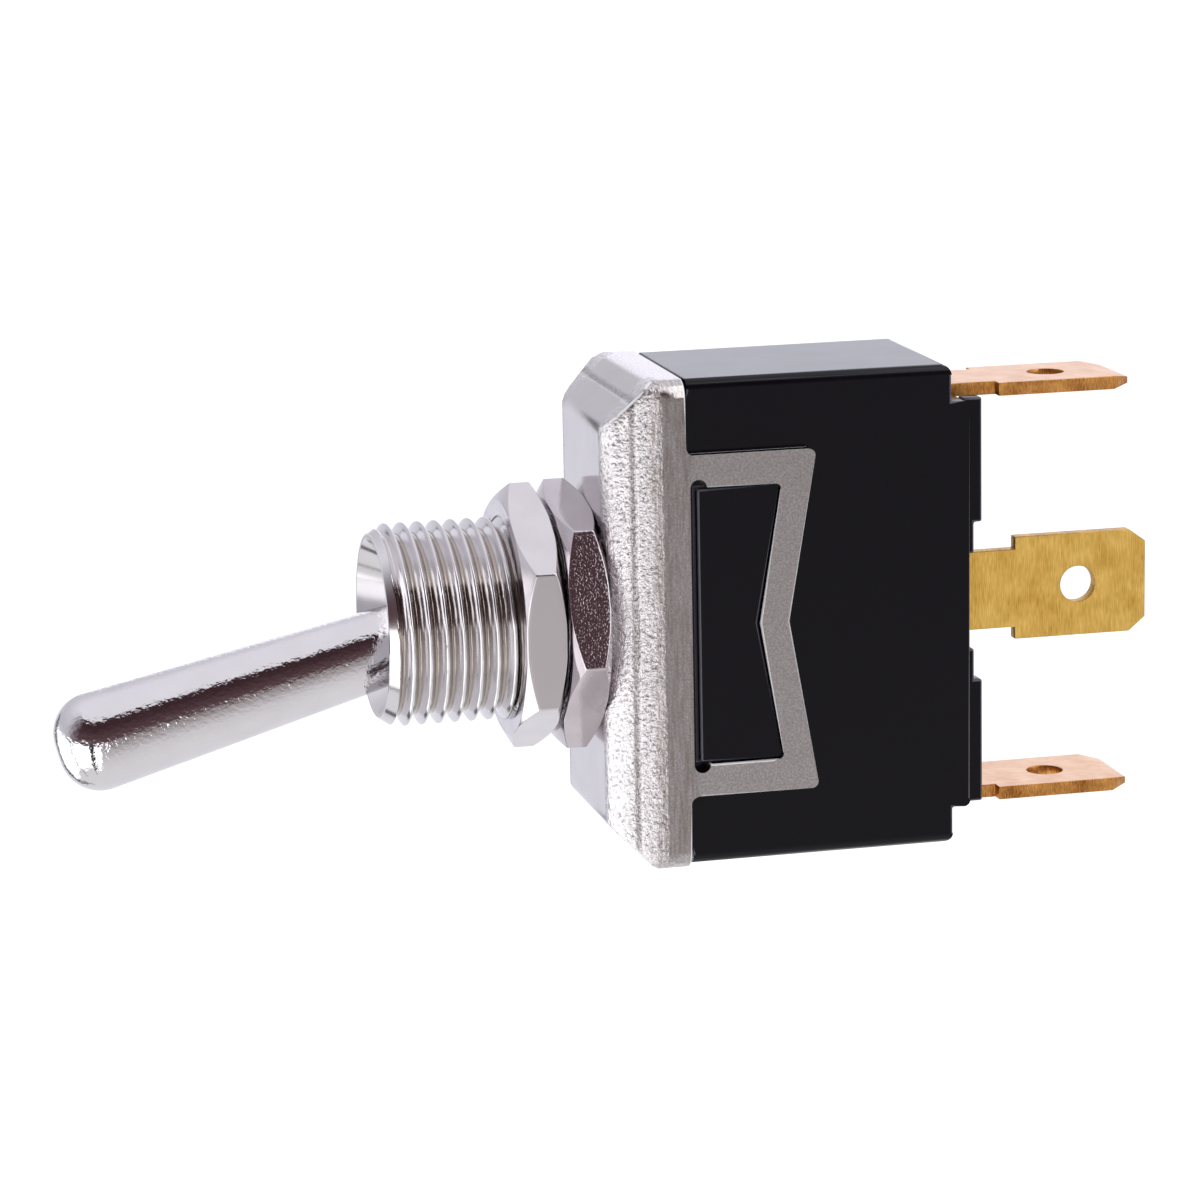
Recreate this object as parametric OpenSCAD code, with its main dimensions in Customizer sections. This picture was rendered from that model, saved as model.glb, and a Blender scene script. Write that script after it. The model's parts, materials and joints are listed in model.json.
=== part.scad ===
// Panel toggle switch, single pole, two positions.
// Y runs along the bushing: the lever is on the -Y side and the terminals on the +Y side.
// Z runs along the length of the case and X across it. The origin is on the bushing's axis,
// in the front face of the front nut.

/* [Bushing] */
// Outside diameter of the thread
thread_d = 12; // [11:0.1:14]
// Pitch of the thread
thread_pitch = 1; // [0.5:0.05:1.5]
// Length of the bushing in front of the mounting frame
bushing_len = 12.8; // [11:0.1:16]
// Length of the plain lead-in before the thread
lead_len = 0.8; // [0.4:0.1:1.5]
// Height of the lead-in's taper
lead_drop = 0.55; // [0.3:0.05:0.7]
// Diameter of the conical mouth at the front face
mouth_d = 10.4; // [9.5:0.1:10.6]
// Clearance around the lever's neck at the bottom of the mouth
throat_c = 0.75; // [0.6:0.05:0.9]
// Distance from the frame to the lever's pivot
pivot_ahead = 7.2; // [6.5:0.1:8]
// Diameter of the neck that is staked into the frame
neck_d = 9.1; // [8.9:0.1:9.3]
// Bore behind the ball
bore_d = 8; // [7.9:0.1:8.2]
// Thickness of the staked rim behind the frame
stake_t = 0.6; // [0.3:0.05:0.9]
// Width of the staked rim beyond the neck
stake_w = 0.65; // [0.3:0.05:0.9]

/* [Nuts] */
// Width across the flats
nut_af = 14; // [13:0.5:17]
// Thickness of each nut
nut_t = 2.4; // [1.5:0.1:3.5]
// Gap between the two nuts
nut_gap = 0.25; // [0:0.05:2]
// Turn of the front nut on the thread
front_nut_turn = -1.5; // [-30:0.5:30]
// Turn of the rear nut on the thread
rear_nut_turn = 17.5; // [-30:0.5:30]

/* [Mounting frame] */
// Sheet thickness
frame_t = 0.8; // [0.5:0.05:1]
// Height of the frame's ends above the ends of the case
frame_proud = 0.1; // [0:0.05:0.3]
// Outside radius of the long bends where they leave the front
bend_r = 1.5; // [1.4:0.1:1.6]
// Outside radius of the long bends where they come into the sides
side_r = 5.3; // [5:0.1:5.5]
// Depth of the cup from its front face to its rear edge
cup_depth = 4.7; // [4:0.1:6]
// Rise of the sloped shoulder at each end
shoulder = 2.7; // [2:0.1:3]
// Outside radius of the rounded shoulder
shoulder_r = 1.2; // [1:0.1:1.6]
// Outside radius of the cup's upright corners
corner_r = 1.1; // [1:0.1:1.8]
// Height of the window in each ear
window_h = 16.5; // [14:0.1:18]
// Distance from the cup's rear edge to the window
window_step = 0.2; // [0.1:0.05:0.6]
// Reach of the window's corners behind the cup's rear edge
window_reach = 5.7; // [4:0.1:7]
// Depth of the notch in the middle of the window's rear edge
notch = 1.4; // [0.4:0.1:2]
// Width of the strap behind the window
strap_w = 1.8; // [1.2:0.1:2.5]
// Width of the arms above and below the window
arm_w = 1.93; // [1.2:0.01:2.6]
// Radius of the relief in the window's front corners
relief_r = 0.5; // [0.3:0.05:0.7]
// Radius of the window's rear corners
window_r = 0.3; // [0.1:0.05:0.6]
// Radius of an ear's outer corners
ear_r = 0.4; // [0.2:0.05:0.8]
// Radius where an ear meets the cup's edge
ear_root_r = 0.5; // [0.2:0.05:0.8]

/* [Case] */
// Width of the case across its wide faces
case_w = 11.6; // [11.2:0.1:13]
// Length of the case
case_len = 29; // [27:0.1:32]
// Distance from the frame's front face to the rear of the case
case_depth = 21.05; // [20.5:0.05:24]
// Radius of the case's long edges
edge_r = 0.6; // [0.3:0.05:1]
// Width of the mechanism's cavity
cavity_w = 6.6; // [6.4:0.1:7.4]
// Wall at each end of the cavity, inside the frame
end_wall = 0.8; // [0.75:0.05:0.85]
// Height of the bosses inside the frame's windows
boss_h = 0.65; // [0.3:0.05:0.8]
// Gap between a boss and the strap of the window
boss_gap = 0.1; // [0.05:0.05:0.3]
// Gap between a boss and the front edge of the window
boss_front_gap = 0.45; // [0.2:0.05:0.8]
// Radius of a boss's rear corners
boss_r = 0.25; // [0.1:0.05:0.5]
// Height of the raised platform on the rear
plateau_h = 1.1; // [0.6:0.1:2]
// Distance from each end of the case to the platform
plateau_inset = 2.2; // [1.8:0.1:2.4]
// Radius of the platform's end corners
plateau_r = 0.4; // [0.2:0.05:0.8]
// Thickness of the ribs beside the terminals
rib_w = 1.2; // [0.8:0.1:1.6]
// Distance from the wide face to a rib
rib_inset = 1; // [0.5:0.1:1.4]
// Height of the low part of a rib
rib_low = 0.6; // [0.3:0.05:0.9]
// Height of the tall part of a rib
rib_tall = 1.1; // [1:0.05:2]
// Distance from the middle to the low part of a rib
rib_low_from = 2.9; // [2.6:0.1:4]
// Distance from the middle to the tall part of a rib
rib_tall_from = 4.8; // [4.2:0.1:7]
// Clearance of the platform beside the end terminals
pocket_side_c = 0.4; // [0.1:0.05:0.8]
// Clearance of the platform under the end terminals
pocket_face_c = 0.3; // [0.1:0.05:0.6]
// Clearance of the centre terminal's foot in its well
well_c = 0.3; // [0.1:0.05:0.5]
// Thickness of the insulating sheet in front of the cavity
insulator_t = 0.5; // [0.3:0.05:0.8]
// Clearance of the lever's tail in the sheet
insulator_c = 0.3; // [0.25:0.05:0.4]
// Distance from the sheet's long sides to the sides of the case
insulator_side_c = 0.6; // [0.55:0.05:0.8]
// Radius of the sheet's corners
insulator_r = 0.5; // [0.2:0.05:1]

/* [Terminals] */
// Width of the tabs
tab_w = 6.3; // [4.8:0.1:6.6]
// Thickness of the strip
strip_t = 0.8; // [0.6:0.05:0.9]
// Length of the tabs behind the necks
tab_len = 8.4; // [7:0.1:10]
// Width of the necks
neck_w = 4.8; // [4:0.1:4.8]
// Length of the end terminals' necks behind the case
end_neck = 3.8; // [3:0.1:6]
// Length of the centre terminal's neck behind the case
centre_neck = 5.2; // [3:0.1:7]
// Distance from each end of the case to the middle of an end terminal
end_inset = 2.1; // [2.05:0.05:2.3]
// Distance of the centre terminal from the middle plane
centre_offset = 1.6; // [1.2:0.1:1.7]
// Diameter of the hole in each tab
tab_hole_d = 2.2; // [1.4:0.1:2.4]
// Distance from the shoulder of a tab to its hole
tab_hole_at = 4; // [3:0.1:4.5]
// Length of the lead-in at a tab's corners
tab_lead = 1.1; // [0.4:0.1:1.5]
// Height of the lead-in at a tab's corners
tab_drop = 0.8; // [0.3:0.05:1.2]
// Depth of the bevel on a tab's faces at its tip
tab_bevel = 0.2; // [0.05:0.05:0.3]
// Inside radius of the strip's bends
strip_bend_r = 0.3; // [0.2:0.05:0.4]

/* [Lever] */
// Swing from the middle to each side
swing = 14.5; // [11:0.5:15]
// Length from the pivot to the tip
lever_len = 25.5; // [20:0.1:36]
// Diameter of the tip
tip_d = 6; // [5:0.1:7]
// Diameter of the lever at the ball
lever_neck_d = 4.3; // [3.6:0.1:4.4]
// Radius of the rounded edge at the tip
tip_r = 2.4; // [1:0.1:2.4]
// Diameter of the ball
ball_d = 6.4; // [6.2:0.1:6.8]
// Diameter of the tail that holds the plunger
tail_d = 3.2; // [3.1:0.05:3.3]
// Length of the tail behind the pivot
tail_len = 16; // [14.5:0.1:17]
// Diameter of the pin through the ball
pin_d = 1.2; // [0.8:0.1:1.6]
// Length of the pin
pin_len = 8.4; // [8.3:0.05:8.6]

/* [Plunger] */
// Diameter of the plunger and of its round tip
plunger_d = 2.2; // [2:0.05:2.3]
// Distance from the end of the tail to the centre of the round tip
plunger_out = 4; // [3.5:0.1:4.5]
// Length of the plunger's shank ahead of the tip's centre
plunger_len = 7.5; // [6:0.1:8]
// Depth of the bore in the tail
spring_bore = 10.4; // [9.5:0.1:11]
// Wire of the spring
spring_wire = 0.35; // [0.2:0.05:0.45]
// Turns of the spring
spring_turns = 5; // [3:1:7]
// Clearance around the spring and at its ends
spring_c = 0.1; // [0.05:0.01:0.15]

/* [Contacts] */
// Tilt of the rocker to each side
rocker_tilt = 8; // [6:0.5:9]
// Thickness of the rocker
rocker_t = 0.8; // [0.6:0.05:0.9]
// Length of the rocker beyond its contacts
rocker_end = 0.4; // [0.2:0.05:0.5]
// Half length of the rocker's dish
dish_half = 6; // [5.8:0.1:6.4]
// Radius of the rocker's trunnion
trunnion_r = 0.6; // [0.5:0.05:0.7]
// Distance from the rocker's sheet to the trunnion's centre
trunnion_lift = 0.1; // [0.05:0.05:0.2]
// Clearance of the rocker's sides in the cavity
rocker_c = 0.2; // [0.1:0.05:0.4]
// Half width of the saddle
saddle_hw = 2.4; // [2.2:0.1:2.6]
// Half height of the saddle
saddle_hh = 2; // [1.5:0.1:2.3]
// Depth of the trunnion's centre behind the edge of the saddle
saddle_lip = 0.15; // [0.1:0.05:0.2]
// Height of the saddle rivet's head
rivet_head_h = 0.35; // [0.2:0.05:0.5]
// Width of the saddle rivet's head beyond its shank
rivet_head_w = 0.4; // [0.2:0.05:0.6]
// Depth of the saddle rivet in the case
rivet_depth = 1.2; // [0.8:0.1:2]
// Distance from an end terminal to the axis of its contacts
contact_step = 2.8; // [2.6:0.1:3]
// Diameter of the moving contacts
moving_contact_d = 2.6; // [2:0.1:3]
// Height of the moving contacts
moving_contact_h = 1; // [0.8:0.05:1.2]
// Radius of the moving contacts' crown
crown_r = 2.5; // [2:0.1:4]
// Diameter of the fixed contacts
fixed_contact_d = 3; // [2.4:0.1:3.2]
// Height of the fixed contacts
fixed_contact_h = 0.9; // [0.6:0.05:1.2]
// Diameter of the contacts' shanks and of the saddle's rivet
shank_d = 1.4; // [1:0.1:1.6]
// Margin of an end terminal's foot beyond its contact
foot_margin = 0.2; // [0.1:0.05:0.4]

/* [Fits] */
// Radial clearance of the ball, the pin and the plunger
run_c = 0.05; // [0.03:0.01:0.08]
// Clearance of the case in the frame and of the strips in their slots
seat_c = 0.05; // [0.03:0.01:0.08]
// Gap between the plunger's tip and the rocker, and between closed contacts
touch_c = 0.05; // [0.03:0.01:0.06]

/* [Hidden] */
$fn = 48;
eps = 0.01;
over = 1;

nickel = [0.78, 0.77, 0.79];
phenolic = [0.09, 0.08, 0.11];
brass = [0.79, 0.64, 0.25];
bronze = [0.80, 0.56, 0.36];
silver = [0.9, 0.9, 0.88];

// Along Y
frame_y = 2 * nut_t + nut_gap;
bushing_y = frame_y - bushing_len;
pivot_y = frame_y - pivot_ahead;
cup_y = frame_y + cup_depth;
stake_y = frame_y + frame_t;
insulator_y = stake_y + stake_t;
case_y = insulator_y + insulator_t;
rear_y = frame_y + case_depth;
plateau_y = rear_y + plateau_h;

// Across and along the case
case_hw = case_w / 2;
case_hl = case_len / 2;
frame_hw = case_hw + seat_c + frame_t;
frame_hl = case_hl + frame_proud;
// The small arc of a long bend turns the sheet through this angle, and the large arc the rest
bend_turn = 60;
flat_hw = frame_hw - bend_r * sin(bend_turn) - side_r * (1 - sin(bend_turn));
plateau_hl = case_hl - plateau_inset;
cavity_hw = cavity_w / 2;
end_pitch = case_hl - end_inset;
contact_at = end_pitch - contact_step;
cavity_hl = frame_hl - frame_t - seat_c - end_wall;

// Thread: its outside, its 60 degree grooves, and where it is engaged by a nut
thread_r = thread_d / 2;
flank_h = sin(60) * thread_pitch;
pitch_r = thread_r - 3 / 8 * flank_h;
root_r = thread_r - 17 / 24 * flank_h;
crest_w = thread_pitch / 8;
seat_r = ball_d / 2 + run_c;

// Frame window
ear_x = frame_hw - frame_t;
window_y = cup_y + window_step;
window_corner = cup_y + window_reach;
window_hh = window_h / 2;
notch_slope = notch / window_hh;
ear_hh = window_hh + arm_w;
strap_mid = window_corner - notch + strap_w;

// Rocker: the dish follows the path of the plunger's tip, seen from the rocker.
// Positions in the rocker are measured from its trunnion's centre.
ratio = rocker_tilt / swing;
tip_r_plunger = plunger_d / 2;
plunger_reach = tail_len + plunger_out;
fulcrum_reach = plunger_reach + tip_r_plunger + touch_c + rocker_t + trunnion_lift;
tip_drop = fulcrum_reach - plunger_reach;
path_r = pow(plunger_reach - tip_drop * ratio, 2)
         / (plunger_reach * (1 + 2 * ratio) - tip_drop * ratio * ratio);
dish_r = path_r + tip_r_plunger + touch_c;
dish_y = -tip_drop - path_r;
arm_y = dish_y + sqrt(dish_r * dish_r - dish_half * dish_half);
fulcrum_y = pivot_y + fulcrum_reach;
rocker_hw = cavity_hw - rocker_c;

// Contacts
crown_y = arm_y + rocker_t + moving_contact_h - crown_r;
contact_y = fulcrum_y + crown_y * cos(rocker_tilt) + contact_at * sin(rocker_tilt)
          + crown_r + touch_c;
ledge_y = contact_y + fixed_contact_h + strip_t;
well_y = fulcrum_y + trunnion_r + run_c + 2 * touch_c + rivet_head_h + 2 * strip_t;
foot_from = contact_at - fixed_contact_d / 2 - foot_margin;
strip_outer_r = strip_bend_r + strip_t;

// Half of the angle of the frame's sloped shoulders
half_slope = 22.5;

// --- Helpers ---------------------------------------------------------------

// A shape drawn in X and Z, from y0 to y1.
module along_y(y0, y1) {
    translate([0, y1, 0]) rotate([90, 0, 0]) linear_extrude(y1 - y0) children();
}

// A shape drawn in Y and Z, from x0 to x1.
module along_x(x0, x1) {
    translate([x0, 0, 0]) rotate([90, 0, 90]) linear_extrude(x1 - x0) children();
}

// A profile of radius and Y, turned about the Y axis.
module turned() {
    rotate([-90, 0, 0]) rotate_extrude() children();
}

// A round bar along X.
module bar_x(x0, x1, r) {
    translate([x0, 0, 0]) rotate([0, 90, 0]) cylinder(r = r, h = x1 - x0);
}

// A round bar along Y.
module bar_y(y0, y1, r) {
    translate([0, y0, 0]) rotate([-90, 0, 0]) cylinder(r = r, h = y1 - y0);
}

function unit(v) = v / norm(v);
function corner_half(a, p, b) = acos(min(1, max(-1, unit(a - p) * unit(b - p)))) / 2;

// A polygon whose convex corners are rounded, each with its own radius.
module rounded(points, radii) {
    n = len(points);
    polygon([for (i = [0 : n - 1])
        let (p = points[i], a = points[(i + n - 1) % n], b = points[(i + 1) % n])
        let (cut = radii[i] / tan(corner_half(a, p, b)))
        each radii[i] > 0 ? [p + unit(a - p) * cut, p + unit(b - p) * cut] : [p]]);
    for (i = [0 : n - 1]) if (radii[i] > 0) {
        p = points[i];
        a = points[(i + n - 1) % n];
        b = points[(i + 1) % n];
        way = unit(unit(a - p) + unit(b - p));
        translate(p + way * radii[i] / sin(corner_half(a, p, b))) circle(radii[i]);
    }
}

// A rectangle about the origin with rounded corners.
module rounded_rect(hx, hz, r) {
    rounded([[-hx, -hz], [hx, -hz], [hx, hz], [-hx, hz]], [r, r, r, r]);
}

// The filling of a concave corner at the origin, open towards +X and +Y.
module fillet(r) {
    difference() {
        square(r);
        translate([r, r]) circle(r);
    }
}

// The notched outline of the windows, ears and bosses, in Y and Z.
module bow_tie(y0, mid, hh, r) {
    corner = mid + notch_slope * hh;
    rounded([[y0, -hh], [corner, -hh], [mid, 0], [corner, hh], [y0, hh]], [0, r, 0, r, 0]);
}

// --- Case ------------------------------------------------------------------

// The section across the frame, or what fits in it: each side is turned back from the front by
// a small arc and then a large one, as far as back.
module bent_section(inset, back) {
    y0 = frame_y + inset;
    hw = frame_hw - inset;
    front_arc = bend_r - inset;
    side_arc = side_r - inset;
    arc_x = hw - side_arc;
    arc_y = y0 + front_arc * (1 - cos(bend_turn)) + side_arc * cos(bend_turn);
    corner_x = flat_hw + front_arc * tan(bend_turn / 2);
    beyond_x = hw + over;
    beyond_y = y0 + (beyond_x - corner_x) * tan(bend_turn);
    intersection() {
        rounded([[-corner_x, y0], [corner_x, y0], [beyond_x, beyond_y], [beyond_x, back],
                 [-beyond_x, back], [-beyond_x, beyond_y]], [front_arc, front_arc, 0, 0, 0, 0]);
        union() {
            for (side = [-1, 1]) translate([side * arc_x, arc_y]) circle(side_arc);
            translate([-arc_x, y0]) square([2 * arc_x, arc_y - y0]);
            translate([-hw, arc_y]) square([2 * hw, back - arc_y]);
        }
    }
}

module case_shell() {
    front_hl = frame_hl - frame_t - seat_c;
    slope = frame_hl - shoulder - (frame_t + seat_c) * tan(half_slope);
    slope_end = frame_y + shoulder + (frame_t + seat_c) * tan(half_slope);
    slope_at_front = slope + case_y - stake_y - seat_c;
    intersection() {
        union() {
            along_y(case_y, cup_y + seat_c) rounded_rect(case_hw, front_hl, corner_r - frame_t);
            along_y(cup_y + seat_c, plateau_y) rounded_rect(case_hw, case_hl, edge_r);
        }
        along_x(-case_hw, case_hw) union() {
            for (side = [0, 1]) mirror([0, side])
                rounded([[case_y, 0], [rear_y, 0], [rear_y, case_hl], [cup_y + seat_c, case_hl],
                         [cup_y + seat_c, front_hl], [slope_end, front_hl], [case_y, slope_at_front]],
                        [0, 0, edge_r, 0, 0, 0, 0]);
            rounded([[rear_y - over, -plateau_hl], [plateau_y, -plateau_hl],
                     [plateau_y, plateau_hl], [rear_y - over, plateau_hl]], [0, plateau_r, plateau_r, 0]);
        }
        translate([0, 0, -case_hl]) linear_extrude(2 * case_hl)
            bent_section(frame_t + seat_c, plateau_y);
    }
}

module rear_ribs() {
    for (sx = [0, 1], sz = [0, 1]) mirror([sx, 0, 0]) mirror([0, 0, sz]) {
        translate([case_hw - rib_inset - rib_w, plateau_y - eps, rib_low_from])
            cube([rib_w, rib_low + eps, plateau_hl - rib_low_from]);
        translate([case_hw - rib_inset - rib_w, plateau_y - eps, rib_tall_from])
            cube([rib_w, rib_tall + eps, plateau_hl - rib_tall_from]);
    }
}

module end_slot() {
    hw = neck_w / 2 + seat_c;
    low = end_pitch - strip_t / 2 - seat_c;
    translate([-hw, ledge_y - eps, low]) cube([2 * hw, case_depth, strip_t + 2 * seat_c]);
    // relief for the bend of the strip
    translate([-hw, ledge_y - eps, low - strip_bend_r])
        cube([2 * hw, strip_bend_r + seat_c + eps, strip_bend_r + 2 * eps]);
    // the platform stands back from the strip
    translate([-hw - pocket_side_c, rear_y, low - pocket_face_c])
        cube([2 * (hw + pocket_side_c), plateau_h + over, case_hl]);
}

module case() {
    color(phenolic) difference() {
        union() {
            case_shell();
            rear_ribs();
            for (side = [0, 1]) mirror([side, 0, 0])
                along_x(case_hw - eps, case_hw + boss_h)
                    bow_tie(window_y + boss_front_gap, window_corner - notch - boss_gap,
                            window_hh - boss_gap, boss_r);
        }
        translate([-cavity_hw, case_y - over, -cavity_hl])
            cube([cavity_w, ledge_y - case_y + over, 2 * cavity_hl]);
        translate([-cavity_hw, case_y, -neck_w / 2 - well_c])
            cube([cavity_w, well_y - case_y, neck_w + 2 * well_c]);
        for (side = [0, 1]) mirror([0, 0, side]) end_slot();
        translate([centre_offset - strip_t / 2 - seat_c, well_y - eps, -neck_w / 2 - seat_c])
            cube([strip_t + 2 * seat_c, case_depth, neck_w + 2 * seat_c]);
        translate([centre_offset - strip_t / 2 - seat_c - strip_bend_r, well_y - eps, -neck_w / 2 - seat_c])
            cube([strip_bend_r + 2 * eps, strip_bend_r + seat_c + eps, neck_w + 2 * seat_c]);
        bar_y(well_y - eps, well_y + rivet_depth, shank_d / 2);
    }
}

// --- Mounting frame --------------------------------------------------------

// The cup's outer form, or its inner form when inset is the sheet's thickness.
module cup(inset) {
    y0 = frame_y + inset;
    hw = frame_hw - inset;
    hl = frame_hl - inset;
    flat_hl = frame_hl - shoulder - inset * tan(half_slope);
    slope_end = frame_y + shoulder + inset * tan(half_slope);
    r = shoulder_r - inset;
    back = cup_y + (inset > 0 ? over : 0);
    intersection() {
        along_x(-hw, hw)
            rounded([[y0, -flat_hl], [slope_end, -hl], [back, -hl],
                     [back, hl], [slope_end, hl], [y0, flat_hl]], [r, r, 0, 0, r, r]);
        translate([0, 0, -hl]) linear_extrude(2 * hl) bent_section(inset, back);
        along_y(y0 - over, back + over) rounded_rect(hw, hl, corner_r - inset);
    }
}

module ear() {
    difference() {
        union() {
            bow_tie(cup_y - over, strap_mid, ear_hh, ear_r);
            for (side = [0, 1]) mirror([0, side])
                translate([cup_y - eps, ear_hh - eps]) fillet(ear_root_r);
        }
        bow_tie(window_y, window_corner - notch, window_hh, window_r);
        for (side = [0, 1]) mirror([0, side])
            translate([window_y + relief_r, window_hh]) circle(relief_r);
    }
}

// The neck of the bushing has two flats, so that it can't turn in the frame.
module neck_section() {
    intersection() {
        circle(neck_d / 2);
        square([2 * flat_hw, neck_d], center = true);
    }
}

module mounting_frame() {
    color(nickel) difference() {
        union() {
            difference() {
                cup(0);
                cup(frame_t);
            }
            for (side = [0, 1]) mirror([side, 0, 0]) along_x(ear_x, frame_hw) ear();
        }
        along_y(frame_y - over, stake_y + over) neck_section();
    }
}

// --- Bushing and nuts ------------------------------------------------------

// Half the section of the threaded shank, with rings one pitch apart in front of the nuts.
module shank() {
    lead_r = thread_r - lead_drop;
    mouth_hw = (thread_pitch - crest_w) / 2;
    root_hw = mouth_hw - (thread_r - root_r) * tan(30);
    beyond_hw = mouth_hw + over * tan(30);
    difference() {
        polygon([[0, bushing_y], [lead_r, bushing_y], [thread_r, bushing_y + lead_len], [thread_r, 0], [0, 0]]);
        for (y = [-crest_w - mouth_hw : -thread_pitch : bushing_y + lead_len])
            polygon([[root_r, y - root_hw], [thread_r + over, y - beyond_hw],
                     [thread_r + over, y + beyond_hw], [root_r, y + root_hw]]);
    }
    translate([0, -eps]) square([pitch_r, frame_y + eps]);
}

module bushing() {
    throat = lever_neck_d / 2 + throat_c;
    throat_y = pivot_y - sqrt(seat_r * seat_r - throat * throat);
    groove_hw = pin_len / 2 + run_c;
    groove_hh = pin_d / 2 + run_c;
    color(nickel) difference() {
        union() {
            turned() shank();
            along_y(frame_y - eps, insulator_y) neck_section();
            along_y(stake_y, insulator_y) intersection() {
                circle(neck_d / 2 + stake_w);
                square([2 * flat_hw, neck_d + 2 * stake_w], center = true);
            }
        }
        turned() polygon([[0, bushing_y - over], [mouth_d / 2, bushing_y - over], [mouth_d / 2, bushing_y],
                          [throat, throat_y], [throat, pivot_y], [0, pivot_y]]);
        translate([0, pivot_y, 0]) sphere(seat_r);
        bar_y(pivot_y, insulator_y + over, bore_d / 2);
        // grooves for the ends of the pin, open to the rear so that the lever goes in from there
        translate([0, pivot_y, 0]) bar_x(-groove_hw, groove_hw, groove_hh);
        translate([-groove_hw, pivot_y, -groove_hh])
            cube([2 * groove_hw, insulator_y - pivot_y + over, 2 * groove_hh]);
    }
}

module nut(y0, turn) {
    corner = nut_af / 2 / cos(30);
    drop = (corner - nut_af / 2) * tan(30);
    color(nickel) difference() {
        intersection() {
            along_y(y0, y0 + nut_t) rotate(turn + 30) circle(r = corner, $fn = 6);
            turned() polygon([[0, y0], [nut_af / 2, y0], [corner, y0 + drop],
                              [corner, y0 + nut_t - drop], [nut_af / 2, y0 + nut_t], [0, y0 + nut_t]]);
        }
        bar_y(y0 - over, y0 + nut_t + over, pitch_r);
    }
}

module front_nut() { nut(0, front_nut_turn); }

module rear_nut() { nut(nut_t + nut_gap, rear_nut_turn); }

module insulator() {
    hole_hw = tail_d / 2 + insulator_c;
    hole_hl = (case_y - pivot_y) * tan(swing) + tail_d / 2 / cos(swing) + insulator_c;
    hl = frame_hl - shoulder - frame_t * tan(half_slope) + stake_t - seat_c;
    color("tan") along_y(insulator_y, case_y) difference() {
        rounded_rect(case_hw - insulator_side_c, hl, insulator_r);
        rounded_rect(hole_hw, hole_hl, hole_hw - eps);
    }
}

// --- Terminals -------------------------------------------------------------

// The flat shape of a strip's outer end: neck, shoulders, tab, lead-ins and hole.
// Drawn with its length along X, from x0, and its width along Y.
module tab_shape(x0, shoulder_x) {
    end_x = shoulder_x + tab_len;
    tip_hw = tab_w / 2 - tab_drop;
    difference() {
        union() {
            translate([x0, -neck_w / 2]) square([shoulder_x - x0 + eps, neck_w]);
            polygon([[shoulder_x, -tab_w / 2], [end_x - tab_lead, -tab_w / 2], [end_x, -tip_hw],
                     [end_x, tip_hw], [end_x - tab_lead, tab_w / 2], [shoulder_x, tab_w / 2]]);
        }
        translate([shoulder_x + tab_hole_at, 0]) circle(tab_hole_d / 2);
    }
}

// The edge view of a bent strip: a foot that lies on a ledge, a bend and a straight run
// with bevelled tip. Drawn with the run along +X about the axis and the foot towards -Y.
module bent_strip(foot_x, foot_to, end_x) {
    half = strip_t / 2;
    inner = foot_x + strip_bend_r;
    translate([foot_x - strip_t, foot_to]) square([strip_t, -foot_to - half - strip_bend_r + eps]);
    polygon([[inner - eps, -half], [end_x - tab_lead, -half], [end_x, -half + tab_bevel],
             [end_x, half - tab_bevel], [end_x - tab_lead, half], [inner - eps, half]]);
    intersection() {
        translate([inner, -half - strip_bend_r]) difference() {
            circle(strip_outer_r);
            circle(strip_bend_r);
        }
        translate([inner - strip_outer_r, -half - strip_bend_r]) square(strip_outer_r);
    }
}

module end_terminal() {
    shoulder_y = rear_y + end_neck;
    end_y = shoulder_y + tab_len;
    difference() {
        intersection() {
            along_x(-tab_w, tab_w) translate([0, end_pitch])
                bent_strip(ledge_y, foot_from - end_pitch, end_y);
            translate([0, 0, foot_from - over]) linear_extrude(end_pitch)
                rotate(90) tab_shape(ledge_y - 2 * strip_t, shoulder_y);
        }
        translate([0, 0, contact_at]) bar_y(ledge_y - 2 * strip_t, ledge_y + over, shank_d / 2);
    }
}

module upper_terminal() { color(bronze) end_terminal(); }

module lower_terminal() { color(bronze) mirror([0, 0, 1]) end_terminal(); }

module centre_terminal() {
    shoulder_y = rear_y + centre_neck;
    end_y = shoulder_y + tab_len;
    color(brass) difference() {
        intersection() {
            translate([centre_offset, 0, -tab_w]) linear_extrude(2 * tab_w) mirror([1, 0]) rotate(90)
                bent_strip(well_y, -centre_offset - saddle_hw, end_y);
            along_x(-case_w, case_w) tab_shape(well_y - 2 * strip_t, shoulder_y);
        }
        bar_y(well_y - 2 * strip_t, well_y + over, shank_d / 2);
    }
}

module fulcrum_saddle() {
    base_y = well_y - 2 * strip_t;
    color(brass) difference() {
        translate([-saddle_hw, fulcrum_y + saddle_lip, -saddle_hh])
            cube([2 * saddle_hw, well_y - strip_t - fulcrum_y - saddle_lip, 2 * saddle_hh]);
        translate([-saddle_hw + strip_t, fulcrum_y, -saddle_hh - over])
            cube([2 * (saddle_hw - strip_t), base_y - fulcrum_y, 2 * (saddle_hh + over)]);
        translate([0, fulcrum_y, 0]) bar_x(-saddle_hw - over, saddle_hw + over, trunnion_r + run_c);
        bar_y(base_y - over, well_y, shank_d / 2);
    }
}

module saddle_rivet() {
    base_y = well_y - 2 * strip_t;
    color(brass) union() {
        bar_y(base_y - rivet_head_h, base_y, shank_d / 2 + rivet_head_w);
        bar_y(base_y - eps, well_y + rivet_depth, shank_d / 2);
    }
}

// --- Contacts and rocker ---------------------------------------------------

module fixed_contact() {
    translate([0, 0, contact_at]) {
        bar_y(contact_y, contact_y + fixed_contact_h, fixed_contact_d / 2);
        bar_y(contact_y + fixed_contact_h - eps, ledge_y, shank_d / 2);
    }
}

module upper_fixed_contact() { color(silver) fixed_contact(); }

module lower_fixed_contact() { color(silver) mirror([0, 0, 1]) fixed_contact(); }

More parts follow.
